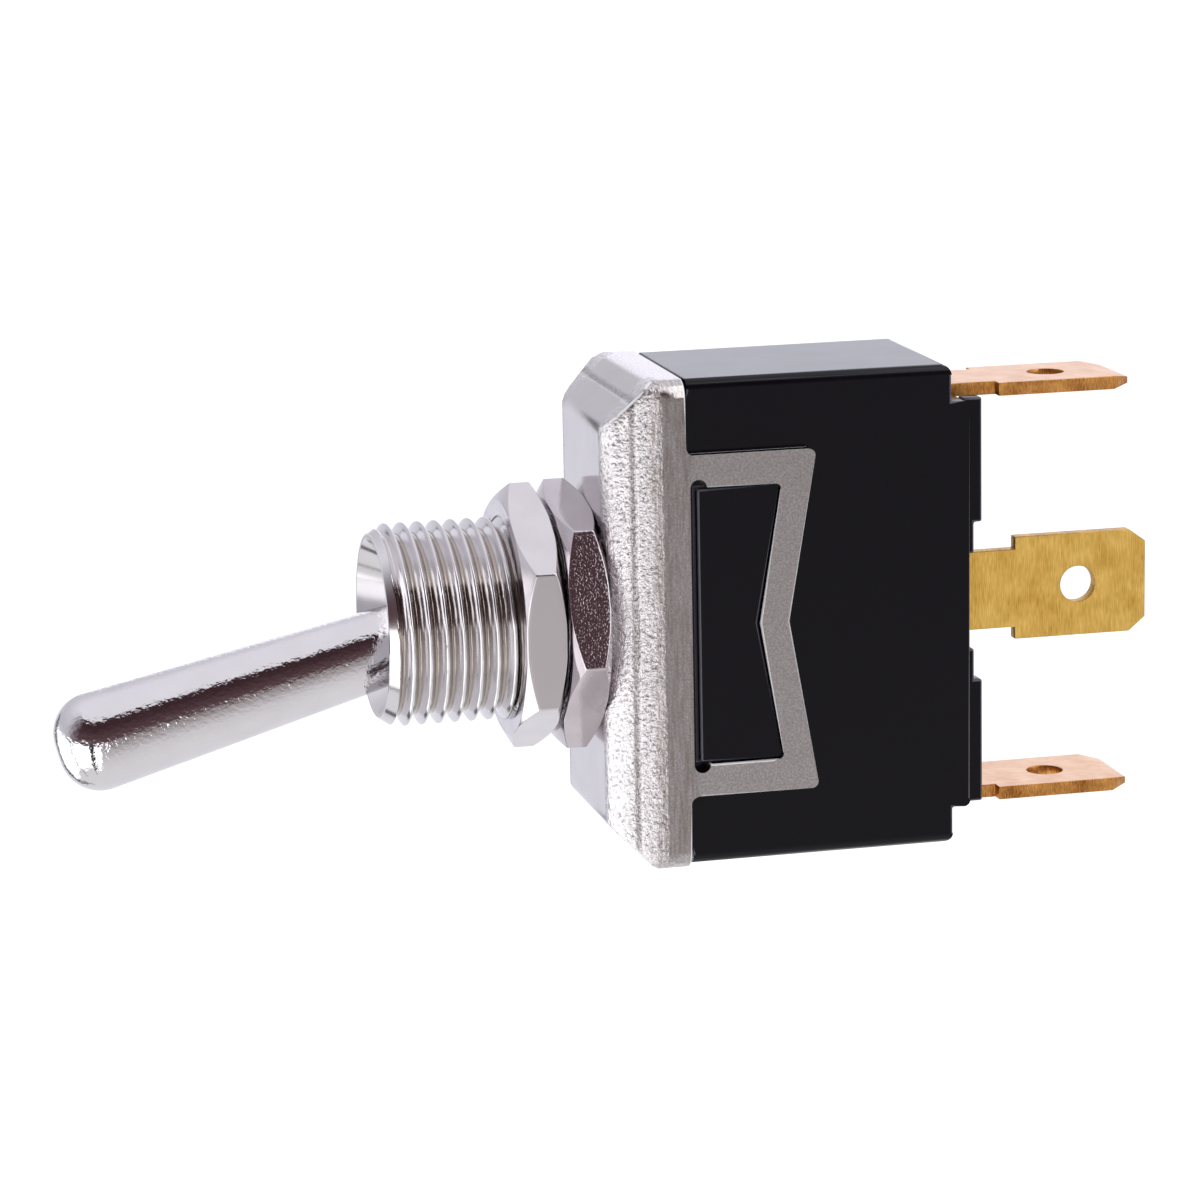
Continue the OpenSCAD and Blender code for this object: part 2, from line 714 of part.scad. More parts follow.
// The rocker is drawn level about its trunnion and tilted to its closed side.
module place_rocker() {
    translate([0, fulcrum_y, 0]) rotate([-rocker_tilt, 0, 0]) children();
}

module rocker() {
    half = contact_at + moving_contact_d / 2 + rocker_end;
    color(brass) place_rocker() difference() {
        union() {
            along_x(-rocker_hw, rocker_hw) union() {
                intersection() {
                    translate([dish_y, 0]) difference() {
                        circle(dish_r + rocker_t);
                        circle(dish_r);
                    }
                    translate([arm_y, -dish_half]) square([dish_r, 2 * dish_half]);
                }
                for (side = [0, 1]) mirror([0, side])
                    translate([arm_y, dish_half - rocker_t / 2])
                        square([rocker_t, half - dish_half + rocker_t / 2]);
            }
            bar_x(-saddle_hw, saddle_hw, trunnion_r);
        }
        for (side = [-1, 1]) translate([0, 0, side * contact_at])
            bar_y(arm_y - over, arm_y + rocker_t + over, shank_d / 2);
    }
}

module moving_contact() {
    translate([0, 0, contact_at]) union() {
        bar_y(arm_y, arm_y + rocker_t + eps, shank_d / 2);
        intersection() {
            bar_y(arm_y + rocker_t, arm_y + rocker_t + moving_contact_h, moving_contact_d / 2);
            translate([0, crown_y, 0]) sphere(crown_r);
        }
    }
}

module upper_moving_contact() { color(silver) place_rocker() moving_contact(); }

module lower_moving_contact() { color(silver) place_rocker() mirror([0, 0, 1]) moving_contact(); }

// --- Lever and plunger -----------------------------------------------------

// The lever's own pieces are drawn in line with the bushing and swung to the rest position.
module place_lever() {
    translate([0, pivot_y, 0]) rotate([swing, 0, 0]) children();
}

module toggle_lever() {
    tip_hr = tip_d / 2;
    neck_r = lever_neck_d / 2;
    color(nickel) place_lever() difference() {
        union() {
            turned() intersection() {
                rounded([[0, 0], [-neck_r, 0], [-tip_hr, -lever_len], [tip_hr, -lever_len], [neck_r, 0]],
                        [0, 0, tip_r, tip_r, 0]);
                translate([0, -lever_len]) square([tip_d, lever_len]);
            }
            sphere(ball_d / 2);
            bar_y(0, tail_len, tail_d / 2);
        }
        bar_y(tail_len - spring_bore, tail_len + over, tip_r_plunger + run_c);
        bar_x(-ball_d, ball_d, pin_d / 2);
    }
}

module pivot_pin() {
    color(nickel) place_lever() bar_x(-pin_len / 2, pin_len / 2, pin_d / 2);
}

module plunger() {
    color("ivory") place_lever() union() {
        translate([0, plunger_reach, 0]) sphere(tip_r_plunger);
        bar_y(plunger_reach - plunger_len, plunger_reach, tip_r_plunger);
    }
}

// A coil between the bottom of the tail's bore and the plunger.
module plunger_spring() {
    wire = spring_wire / 2;
    from = tail_len - spring_bore + wire + spring_c;
    to = plunger_reach - plunger_len - wire - spring_c;
    mean = tip_r_plunger - wire - spring_c;
    steps = 16;
    sides = 8;
    rings = spring_turns * steps;
    points = [for (i = [0 : rings], j = [0 : sides - 1])
        let (turn = 360 * i / steps, around = 360 * j / sides)
        [(mean + wire * cos(around)) * cos(turn), from + (to - from) * i / rings + wire * sin(around),
         (mean + wire * cos(around)) * sin(turn)]];
    faces = concat(
        [for (i = [0 : rings - 1], j = [0 : sides - 1])
            let (k = (j + 1) % sides)
            [i * sides + j, (i + 1) * sides + j, (i + 1) * sides + k, i * sides + k]],
        [[for (j = [0 : sides - 1]) j]],
        [[for (j = [sides - 1 : -1 : 0]) rings * sides + j]]);
    color(silver) place_lever() polyhedron(points, faces);
}

case();
mounting_frame();
bushing();
front_nut();
rear_nut();
insulator();
upper_terminal();
lower_terminal();
centre_terminal();
fulcrum_saddle();
saddle_rivet();
upper_fixed_contact();
lower_fixed_contact();
rocker();
upper_moving_contact();
lower_moving_contact();
toggle_lever();
pivot_pin();
plunger();
plunger_spring();
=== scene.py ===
"""Looks of the panel toggle switch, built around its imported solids. Lengths are in metres."""

import json
import math

import bmesh
import bpy
import numpy as np
from mathutils import Matrix, Vector


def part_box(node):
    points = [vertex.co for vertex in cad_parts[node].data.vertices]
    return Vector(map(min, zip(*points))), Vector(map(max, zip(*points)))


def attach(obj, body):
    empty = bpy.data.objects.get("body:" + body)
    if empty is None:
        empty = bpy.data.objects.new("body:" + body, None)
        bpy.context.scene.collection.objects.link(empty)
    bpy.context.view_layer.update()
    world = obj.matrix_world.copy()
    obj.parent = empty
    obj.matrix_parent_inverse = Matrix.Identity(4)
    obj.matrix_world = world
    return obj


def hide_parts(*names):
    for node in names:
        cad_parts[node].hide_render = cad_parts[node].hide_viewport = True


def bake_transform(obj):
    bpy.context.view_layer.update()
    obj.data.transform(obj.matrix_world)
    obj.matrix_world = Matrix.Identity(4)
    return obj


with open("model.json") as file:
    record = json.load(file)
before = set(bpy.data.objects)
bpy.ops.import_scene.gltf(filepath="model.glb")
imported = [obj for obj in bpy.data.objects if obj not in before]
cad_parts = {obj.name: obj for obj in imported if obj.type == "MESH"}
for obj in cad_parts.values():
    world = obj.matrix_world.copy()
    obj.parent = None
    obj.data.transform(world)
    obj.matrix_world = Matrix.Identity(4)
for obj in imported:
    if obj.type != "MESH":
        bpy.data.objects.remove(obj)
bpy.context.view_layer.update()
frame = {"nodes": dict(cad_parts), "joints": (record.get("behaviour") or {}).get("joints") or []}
scene = bpy.context.scene
scene.view_settings.view_transform = "Standard"
MM = 0.001

# --- Camera ------------------------------------------------------------------------------------
# A long lens looks at the case's wide face from a little in front of it and a little above.

LENS_MM = 129.68
CAMERA_AT = Vector((244.86, -51.69, 54.17)) * MM
VIEW_AZIMUTH = math.radians(76.74)
VIEW_ELEVATION = math.radians(12.02)
VIEW_ROLL = math.radians(-1.16)

backward = Vector((
    math.sin(VIEW_AZIMUTH) * math.cos(VIEW_ELEVATION),
    -math.cos(VIEW_AZIMUTH) * math.cos(VIEW_ELEVATION),
    math.sin(VIEW_ELEVATION),
))
level_right = Vector((0, 0, 1)).cross(backward).normalized()
level_up = backward.cross(level_right)
right = level_right * math.cos(VIEW_ROLL) + level_up * math.sin(VIEW_ROLL)
up = level_up * math.cos(VIEW_ROLL) - level_right * math.sin(VIEW_ROLL)

camera = bpy.data.objects.new("camera", bpy.data.cameras.new("camera"))
camera.data.lens = LENS_MM
camera.data.sensor_width = 36
camera.data.clip_start = 10 * MM
turned = Matrix((right, up, backward)).transposed().to_4x4()
camera.matrix_world = Matrix.Translation(CAMERA_AT) @ turned
scene.collection.objects.link(camera)
scene.camera = camera

# --- Studio ------------------------------------------------------------------------------------
# A pale tent over a white table. Towards the camera it is open to a dim brown room, which shows in
# the plating between soft bright panels with dark edges. One weak softbox hangs over the switch.

SOFTBOX_WATTS = 0.04
FLOOR_Z = -60 * MM
FLOOR_HALF = 3.0
FLOOR_GLOW = 0.4


def linear(code):
    """The linear colour of an sRGB hex code such as "D9D7DA"."""
    parts = [int(code[i:i + 2], 16) / 255 for i in (0, 2, 4)]
    return tuple(c / 12.92 if c <= 0.04045 else ((c + 0.055) / 1.055) ** 2.4 for c in parts) + (1.0,)


def add(tree, kind, inputs=None, stops=None, **settings):
    """Adds a node with its settings. An input that is given another node's output is linked to it."""
    node = tree.nodes.new(kind)
    for name, value in settings.items():
        setattr(node, name, value)
    for name, value in (inputs or {}).items():
        if isinstance(value, bpy.types.NodeSocket):
            tree.links.new(value, node.inputs[name])
        else:
            node.inputs[name].default_value = value
    for i, (place, colour) in enumerate(stops or []):
        elements = node.color_ramp.elements
        element = elements[i] if i < 2 else elements.new(place)
        element.position = place
        element.color = colour
    return node


world = bpy.data.worlds.new("tent")
world.use_nodes = True
scene.world = world
tree = world.node_tree
tree.nodes.clear()
way = add(tree, "ShaderNodeTexCoord").outputs["Generated"]
parts = add(tree, "ShaderNodeSeparateXYZ", {"Vector": way})
height = add(tree, "ShaderNodeMapRange", {
    "Value": parts.outputs["Z"], "From Min": -1.0, "From Max": 1.0})
# each stop is half of one plus the sine of the elevation
room = add(tree, "ShaderNodeValToRGB", {"Fac": height.outputs["Result"]}, stops=[
    (0.05, (0.92, 0.91, 0.93, 1)), (0.24, (0.80, 0.78, 0.79, 1)), (0.36, (0.60, 0.57, 0.57, 1)),
    (0.45, (0.45, 0.42, 0.42, 1)), (0.545, (0.27, 0.22, 0.22, 1)), (0.585, (0.13, 0.078, 0.088, 1)),
    (0.83, (0.055, 0.025, 0.03, 1)), (0.91, (0.05, 0.025, 0.03, 1)), (0.93, (1.0, 0.98, 1.03, 1))])
tent = add(tree, "ShaderNodeValToRGB", {"Fac": height.outputs["Result"]}, stops=[
    (0.0, (0.92, 0.91, 0.93, 1)), (0.40, (0.86, 0.86, 0.95, 1)), (0.62, (0.68, 0.67, 0.72, 1)),
    (0.80, (0.80, 0.79, 0.85, 1)), (0.93, (1.0, 0.98, 1.05, 1))])
facing = add(tree, "ShaderNodeMapRange", {
    "Value": parts.outputs["X"], "From Min": -0.35, "From Max": 0.45}, interpolation_type="SMOOTHSTEP")
around = add(tree, "ShaderNodeMix", {
    "Factor": facing.outputs["Result"], 6: tent.outputs["Color"], 7: room.outputs["Color"]},
    data_type="RGBA")
forward = add(tree, "ShaderNodeMath", {0: parts.outputs["Y"], 1: -1.0}, operation="MULTIPLY")
azimuth = add(tree, "ShaderNodeMath", {
    0: parts.outputs["X"], 1: forward.outputs[0]}, operation="ARCTAN2")


def between(tree, value, low, high, soft):
    """A mask that is 1 where a value lies between two limits, with soft edges outside them."""
    rise = add(tree, "ShaderNodeMapRange", {
        "Value": value, "From Min": low - soft, "From Max": low}, interpolation_type="SMOOTHSTEP")
    fall = add(tree, "ShaderNodeMapRange", {
        "Value": value, "From Min": high + soft, "From Max": high}, interpolation_type="SMOOTHSTEP")
    both = add(tree, "ShaderNodeMath", {0: rise.outputs[0], 1: fall.outputs[0]}, operation="MULTIPLY")
    return both.outputs[0]


def panel(tree, behind, brightness, turn, rise, soft, blue=1.02):
    """Lays an even panel over what is behind it. Its limits are azimuths and sines of elevations."""
    wide = between(tree, azimuth.outputs[0], math.radians(turn[0]), math.radians(turn[1]), soft)
    tall = between(tree, parts.outputs["Z"], rise[0], rise[1], soft)
    mask = add(tree, "ShaderNodeMath", {0: wide, 1: tall}, operation="MULTIPLY")
    colour = (brightness, brightness, brightness * blue, 1)
    laid = add(tree, "ShaderNodeMix", {
        "Factor": mask.outputs[0], 6: behind, 7: colour}, data_type="RGBA")
    return laid.outputs[2]


# the bright panels stand before the switch, at its side, behind it and above its rear
lit = panel(tree, around.outputs[2], 2.0, turn=(-50, 58), rise=(-0.75, 0.0), soft=0.05)
lit = panel(tree, lit, 2.3, turn=(74, 90), rise=(-0.85, 0.02), soft=0.05)
lit = panel(tree, lit, 1.25, turn=(-130, -94), rise=(-0.1, 0.5), soft=0.10, blue=1.12)
lit = panel(tree, lit, 2.2, turn=(118, 172), rise=(0.08, 0.85), soft=0.10)
# the dark edges of the panels
lit = panel(tree, lit, 0.12, turn=(-66, -57), rise=(-0.9, 0.10), soft=0.05)
lit = panel(tree, lit, 0.12, turn=(3, 6), rise=(-0.9, 0.10), soft=0.03)
lit = panel(tree, lit, 0.06, turn=(61, 71), rise=(-0.9, 0.10), soft=0.04)
rays = add(tree, "ShaderNodeLightPath")
glossy = add(tree, "ShaderNodeMix", {
    "Factor": rays.outputs["Is Glossy Ray"], 6: (0.85, 0.85, 0.87, 1), 7: lit}, data_type="RGBA")
seen = add(tree, "ShaderNodeMix", {
    "Factor": rays.outputs["Is Camera Ray"], 6: glossy.outputs[2], 7: (1, 1, 1, 1)}, data_type="RGBA")
sky = add(tree, "ShaderNodeBackground", {"Color": seen.outputs[2], "Strength": 1.0})
add(tree, "ShaderNodeOutputWorld", {"Surface": sky.outputs["Background"]})

softbox = bpy.data.lights.new("softbox", "AREA")
softbox.shape = "RECTANGLE"
softbox.size = 180 * MM
softbox.size_y = 120 * MM
softbox.energy = SOFTBOX_WATTS
softbox_object = bpy.data.objects.new("softbox", softbox)
softbox_object.location = Vector((20, 0, 190)) * MM
softbox_object.visible_glossy = False
scene.collection.objects.link(softbox_object)

floor_mesh = bpy.data.meshes.new("floor")
floor_mesh.from_pydata(
    [(x * FLOOR_HALF, y * FLOOR_HALF, FLOOR_Z) for x, y in ((-1, -1), (1, -1), (1, 1), (-1, 1))],
    [], [(0, 1, 2, 3)])
floor = bpy.data.objects.new("floor", floor_mesh)
scene.collection.objects.link(floor)
floor.visible_glossy = False
paper = bpy.data.materials.new("white_paper")
paper.use_nodes = True
tree = paper.node_tree
tree.nodes.clear()
rays = add(tree, "ShaderNodeLightPath")
matt = add(tree, "ShaderNodeBsdfDiffuse", {"Color": linear("EDEDEE")})
glow_strength = add(tree, "ShaderNodeMath", {
    0: rays.outputs["Is Camera Ray"], 1: FLOOR_GLOW}, operation="MULTIPLY")
glow = add(tree, "ShaderNodeEmission", {"Strength": glow_strength.outputs[0]})
both = add(tree, "ShaderNodeAddShader", {0: matt.outputs[0], 1: glow.outputs[0]})
add(tree, "ShaderNodeOutputMaterial", {"Surface": both.outputs[0]})
floor_mesh.materials.append(paper)

# --- Toggle lever ------------------------------------------------------------------------------
# One turned piece of brass: a bat handle with a domed tip, a ball that seats in the bushing, and a
# hollow tail that holds the plunger. Its nickel plate is a bright mirror that ripples over a peel.

LEVER_LENGTH = 25.2 * MM
TIP_RADIUS = 3.0 * MM
TIP_ROUND = 2.4 * MM
NECK_RADIUS = 2.15 * MM
BALL_RADIUS = 3.2 * MM
TAIL_RADIUS = 1.6 * MM
TAIL_LENGTH = 16.0 * MM
TAIL_BORE = 1.15 * MM
TAIL_BORE_FROM = 5.6 * MM
TAIL_EDGE = 0.1 * MM
SHARP_ANGLE = math.radians(35)
CLOUD_SIZE = 2.2 * MM

joints = {joint["name"]: joint for joint in frame["joints"]}
pivot = np.array(joints["lever_swing"]["pos_m"])
rest_tilt = math.radians(joints["lever_swing"]["range_deg"][1]) / 2


def arc(centre, radius, start, end, count):
    """Points (radius, length) on a circle about a centre, from one angle in degrees to another."""
    turn = np.radians(np.linspace(start, end, count))
    return np.stack([centre[0] + radius * np.cos(turn), centre[1] + radius * np.sin(turn)], 1)


def skin(name, points, rows_close=False):
    """A mesh over a grid of points (rows, columns, 3). The columns run round the piece and close.

    Each grid cell is a quad of the cell's four corners, and points that lie together are merged.
    With rows_close the last row also joins the first, as on a ring.
    """
    rows, columns = points.shape[:2]
    here = np.arange(rows * columns).reshape(rows, columns)
    nearer = here if rows_close else here[:-1]
    further = np.roll(here, -1, axis=0) if rows_close else here[1:]
    quads = np.stack([nearer, np.roll(nearer, -1, 1), np.roll(further, -1, 1), further], -1)
    mesh = bpy.data.meshes.new(name)
    mesh.from_pydata(points.reshape(-1, 3), [], quads.reshape(-1, 4))
    cage = bmesh.new()
    cage.from_mesh(mesh)
    bmesh.ops.remove_doubles(cage, verts=cage.verts, dist=1e-8)
    bmesh.ops.dissolve_degenerate(cage, edges=cage.edges, dist=1e-9)
    bmesh.ops.recalc_face_normals(cage, faces=cage.faces)
    cage.to_mesh(mesh)
    cage.free()
    mesh.shade_smooth()
    piece = bpy.data.objects.new(name, mesh)
    scene.collection.objects.link(piece)
    return piece


def new_material(name):
    """A material with an empty tree but for its Principled shader and output."""
    finish = bpy.data.materials.new(name)
    finish.use_nodes = True
    finish.node_tree.nodes.clear()
    shader = add(finish.node_tree, "ShaderNodeBsdfPrincipled")
    add(finish.node_tree, "ShaderNodeOutputMaterial", {"Surface": shader.outputs["BSDF"]})
    return finish, finish.node_tree, shader


def set_inputs(tree, shader, inputs):
    """Fills or links the inputs of a shader that is already there."""
    for name, value in inputs.items():
        if isinstance(value, bpy.types.NodeSocket):
            tree.links.new(value, shader.inputs[name])
        else:
            shader.inputs[name].default_value = value


def nickel_plate(name, bright, dull, sheen, grain_mm, grain_depth, lay=(1, 1, 1), tilt=0.0):
    """Nickel plate over turned or drawn metal: a mirror broken by the peel and lines beneath it.

    The peel is noise of a real size, stretched along the lay of the tool marks, and a coarser
    noise clouds the sheen where handling has dulled it.
    """
    finish, tree, shader = new_material(name)
    place = add(tree, "ShaderNodeTexCoord").outputs["Object"]
    laid = add(tree, "ShaderNodeMapping", {"Vector": place, "Rotation": (-tilt, 0, 0), "Scale": lay})
    clouds = add(tree, "ShaderNodeTexNoise", {"Vector": place, "Scale": 1 / CLOUD_SIZE, "Detail": 3.0})
    grain = add(tree, "ShaderNodeTexNoise", {
        "Vector": laid.outputs["Vector"], "Scale": 1 / (grain_mm * MM), "Detail": 2.0})
    colour = add(tree, "ShaderNodeMix", {
        "Factor": clouds.outputs["Fac"], 6: linear(bright), 7: linear(dull)}, data_type="RGBA")
    dulled = add(tree, "ShaderNodeMapRange", {
        "Value": clouds.outputs["Fac"], "From Min": 0.3, "From Max": 0.75,
        "To Min": sheen * 0.75, "To Max": sheen * 1.35})
    relief = add(tree, "ShaderNodeBump", {
        "Height": grain.outputs["Fac"], "Strength": 1.0, "Distance": grain_depth})
    set_inputs(tree, shader, {
        "Base Color": colour.outputs[2], "Metallic": 1.0, "Roughness": dulled.outputs["Result"],
        "Normal": relief.outputs["Normal"]})
    return finish, tree, shader


# the handle's side is a line of this slope, which meets the ball behind and the tip's round ahead
slope = (TIP_RADIUS - NECK_RADIUS) / LEVER_LENGTH
lean = math.degrees(math.atan(slope))
side_r = NECK_RADIUS + slope * (LEVER_LENGTH - TIP_ROUND)
tip_centre = (side_r - TIP_ROUND / math.cos(math.radians(lean)), TIP_ROUND - LEVER_LENGTH)
square = 1 + slope ** 2
reach = math.sqrt(BALL_RADIUS ** 2 * square - NECK_RADIUS ** 2)
neck_meets = -(NECK_RADIUS * slope + reach) / square
tail_meets = math.sqrt(BALL_RADIUS ** 2 - TAIL_RADIUS ** 2)
ball_from = math.degrees(math.atan2(tail_meets, TAIL_RADIUS))
ball_to = math.degrees(math.atan2(neck_meets, NECK_RADIUS - slope * neck_meets))
handle_y = np.linspace(neck_meets, tip_centre[1] + TIP_ROUND * math.sin(math.radians(lean)), 40)
lever_profile = np.concatenate([
    [(0, TAIL_BORE_FROM), (TAIL_BORE, TAIL_BORE_FROM), (TAIL_BORE, TAIL_LENGTH - TAIL_EDGE),
     (TAIL_BORE + TAIL_EDGE, TAIL_LENGTH), (TAIL_RADIUS - TAIL_EDGE, TAIL_LENGTH),
     (TAIL_RADIUS, TAIL_LENGTH - TAIL_EDGE), (TAIL_RADIUS, 0.5 * TAIL_LENGTH)],
    arc((0, 0), BALL_RADIUS, ball_from, ball_to, 24),
    np.stack([NECK_RADIUS - slope * handle_y, handle_y], 1)[1:-1],
    arc(tip_centre, TIP_ROUND, -lean, -90, 28),
    [(TIP_RADIUS / 8, -LEVER_LENGTH), (0, -LEVER_LENGTH)]])
# the profile turns about the lever's axis, which is tilted about the pivot to the lower stop
ring = np.linspace(0, 2 * np.pi, 112, endpoint=False)
radius, along = lever_profile[:, 0:1], lever_profile[:, 1:2]
across, upward = radius * np.cos(ring), radius * np.sin(ring)
lever_points = np.stack([
    across, along * math.cos(rest_tilt) - upward * math.sin(rest_tilt),
    along * math.sin(rest_tilt) + upward * math.cos(rest_tilt)], -1) + pivot
lever = skin("lever", lever_points)
lever.data.set_sharp_from_angle(angle=SHARP_ANGLE)
# the thick plate shines like a mirror, with wavy edges to all that it reflects
lever_plate = nickel_plate(
    "lever_nickel_plate", "DFDDE0", "D3D0D2", 0.08, 0.24, 26e-6, lay=(1, 0.8, 1), tilt=rest_tilt)[0]
lever.data.materials.append(lever_plate)
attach(lever, "lever")
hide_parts("toggle_lever")

# --- Bushing -----------------------------------------------------------------------------------
# Turned brass, nickel plated, with a thread of 1 mm pitch. Its mouth is a cone that lets the lever
# lean, the ball bears on a round seat, and the neck behind is staked into the frame.

THREAD_RADIUS = 6.0 * MM
THREAD_PITCH = 1.0 * MM
THREAD_DEPTH = 0.68 * MM
THREAD_START = 0.28 * MM
CREST_SHARE = 0.07
ROOT_SHARE = 0.16
LEAD_LENGTH = 0.8 * MM
LEAD_RADIUS = 5.45 * MM
MOUTH_RADIUS = 5.2 * MM
THROAT_RADIUS = 2.9 * MM
SEAT_RADIUS = 3.25 * MM
BORE_RADIUS = 4.0 * MM
BUSHING_NECK_RADIUS = 4.55 * MM
BUSHING_RIM_RADIUS = 5.2 * MM
NECK_FLAT = 4.64 * MM
GROOVE_RADIUS = 4.25 * MM
GROOVE_HALF = 0.65 * MM
RUN_OUT = 0.5 * MM
SHEET_THICKNESS = 0.8 * MM
FLANK_EASE = 0.25
# painted shade in the thread's roots: from this radius out to where the thread is cut this share deep
ROOT_SHADE_FROM = 5.25 * MM
ROOT_SHADE_SHARE = 0.97
CREASE_ANGLE = math.radians(50)

bushing_low, bushing_high = (np.array(corner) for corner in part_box("bushing"))
plate_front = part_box("mounting_frame")[0][1]
plate_back = plate_front + SHEET_THICKNESS


def groove(turn, y):
    """Depth of a right-hand thread below its crests, from 0 to 1, at an angle and a length.

    The phase runs once round per pitch. Crests and roots are flat bands, and the flanks between
    them are straight, with a little of a sine taken away to ease their ends.
    """
    phase = (y - bushing_low[1] - THREAD_START) / THREAD_PITCH + turn / (2 * np.pi)
    away = 2 * np.abs(phase - np.round(phase))
    ramp = np.clip((away - CREST_SHARE) / (1 - CREST_SHARE - ROOT_SHARE), 0, 1)
    return ramp - FLANK_EASE * np.sin(2 * np.pi * ramp) / (2 * np.pi)


thread_y = np.linspace(bushing_low[1], plate_front, 308)
throat_y = pivot[1] - math.sqrt(SEAT_RADIUS ** 2 - THROAT_RADIUS ** 2)
seat_from = math.degrees(math.atan2(throat_y - pivot[1], THROAT_RADIUS))
bore_y = np.linspace(bushing_high[1], pivot[1], 20)
bushing_inside = np.concatenate([
    np.stack([np.full_like(bore_y, BORE_RADIUS), bore_y], 1),
    arc((0, pivot[1]), SEAT_RADIUS, 0, seat_from, 12), [(MOUTH_RADIUS, bushing_low[1])]])
bushing_neck = np.array([
    (BUSHING_NECK_RADIUS, plate_front), (BUSHING_NECK_RADIUS, plate_back),
    (BUSHING_RIM_RADIUS, plate_back), (BUSHING_RIM_RADIUS, bushing_high[1])])
ring = np.linspace(0, 2 * np.pi, 192, endpoint=False)
# the thread rises along the lead at the mouth, and runs out before the frame
led_in = np.clip((thread_y - bushing_low[1]) / LEAD_LENGTH, 0, 1)
cone = LEAD_RADIUS + (THREAD_RADIUS - LEAD_RADIUS) * led_in
fade = np.clip((plate_front - thread_y) / RUN_OUT, 0, 1) * led_in
cut = THREAD_DEPTH * fade[:, None] * groove(ring[None, :], thread_y[:, None])
thread_rows = np.minimum(cone[:, None], THREAD_RADIUS - cut)
# the bore has two grooves for the pin, and the neck has two flats
inner_rows = np.repeat(bushing_inside[:, 0:1], len(ring), 1)
in_groove = (np.abs(inner_rows * np.sin(ring)) < GROOVE_HALF) & (inner_rows == BORE_RADIUS)
inner_rows = np.where(in_groove, GROOVE_RADIUS, inner_rows)
neck_rows = np.minimum(bushing_neck[:, 0:1], NECK_FLAT / np.maximum(np.abs(np.cos(ring)), 1e-6))
rows_r = np.concatenate([inner_rows, thread_rows, neck_rows])
rows_y = np.concatenate([bushing_inside[:, 1], thread_y, bushing_neck[:, 1]])[:, None] + 0 * ring
bushing_points = np.stack([rows_r * np.cos(ring), rows_y, rows_r * np.sin(ring)], -1)
bushing = skin("bushing_thread", bushing_points, rows_close=True)
bushing.data.set_sharp_from_angle(angle=CREASE_ANGLE)
# bright plate with faint turned lines, softer than the lever's
bushing_plate, tree, shader = nickel_plate(
    "bushing_nickel_plate", "E2E0E2", "D3D0D1", 0.13, 0.10, 1.5e-6, lay=(1, 4, 1))
# painted shade makes the roots of the thread darker and browner
out_from_axis = add(tree, "ShaderNodeVectorMath", {
    0: add(tree, "ShaderNodeTexCoord").outputs["Object"], 1: (1.0, 0.0, 1.0)}, operation="MULTIPLY")
radius_here = add(tree, "ShaderNodeVectorMath", {0: out_from_axis.outputs[0]}, operation="LENGTH")
painted_root_shade = between(
    tree, radius_here.outputs["Value"],
    ROOT_SHADE_FROM, THREAD_RADIUS - ROOT_SHADE_SHARE * THREAD_DEPTH, 0.07 * MM)
tone_shift = add(tree, "ShaderNodeMix", {
    "Factor": painted_root_shade, 6: shader.inputs["Base Color"].links[0].from_socket, 7: linear("A89F98")},
    data_type="RGBA")
tree.links.new(tone_shift.outputs[2], shader.inputs["Base Color"])
bushing.data.materials.append(bushing_plate)
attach(bushing, "base")
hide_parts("bushing")

# --- Nuts --------------------------------------------------------------------------------------
# Two thin hexagon nuts cut from drawn brass bar, chamfered at 30 degrees on both faces and nickel
# plated. The rear one bears on the frame, and the front one is run down against it.

NUT_HALF_FLATS = 7.0 * MM
NUT_CORNER_ROUND = 0.14 * MM
NUT_EDGE_ROUND = 0.07 * MM
NUT_MOUTH = 0.12 * MM
NUT_TURNS = {"front_nut": math.radians(-1.5), "rear_nut": math.radians(17.5)}
THREAD_CLEARANCE = 0.03 * MM
HALF_SIDE = math.pi / 6
BLISTER_SIZE = 0.12 * MM
BLISTER_HEIGHT = 4e-6

# the front nut keeps the straight, fine lines of the drawn bar
front_plate = nickel_plate(
    "front_nut_nickel_plate", "DFDCDE", "CFCACD", 0.16, 0.09, 1.2e-6, lay=(1, 0.2, 1))[0]
# the rear one has a coarser peel and a darker, rosier cast
rear_plate, tree, shader = nickel_plate("rear_nut_nickel_plate", "D6D0D3", "B9AFB4", 0.10, 0.12, 3e-6)
NUT_PLATES = {"front_nut": front_plate, "rear_nut": rear_plate}
# one flat of the rear nut kept the blistered skin of the bar, which glitters in small specks
place = add(tree, "ShaderNodeTexCoord").outputs["Object"]
pits = add(tree, "ShaderNodeTexNoise", {
    "Vector": place, "Scale": 1 / BLISTER_SIZE, "Detail": 2.0})
blisters = add(tree, "ShaderNodeMapRange", {
    "Value": pits.outputs["Fac"], "From Min": 0.55, "From Max": 0.74})
flat_way = (math.cos(NUT_TURNS["rear_nut"]), 0.0, math.sin(NUT_TURNS["rear_nut"]))
out_along = add(tree, "ShaderNodeVectorMath", {0: place, 1: flat_way}, operation="DOT_PRODUCT")
on_flat = between(
    tree, out_along.outputs["Value"], NUT_HALF_FLATS - 0.03 * MM, NUT_HALF_FLATS + 1 * MM, 0.02 * MM)
blistered = add(tree, "ShaderNodeBump", {
    "Height": blisters.outputs[0], "Strength": on_flat, "Distance": BLISTER_HEIGHT,
    "Normal": shader.inputs["Normal"].links[0].from_socket})
tree.links.new(blistered.outputs["Normal"], shader.inputs["Normal"])


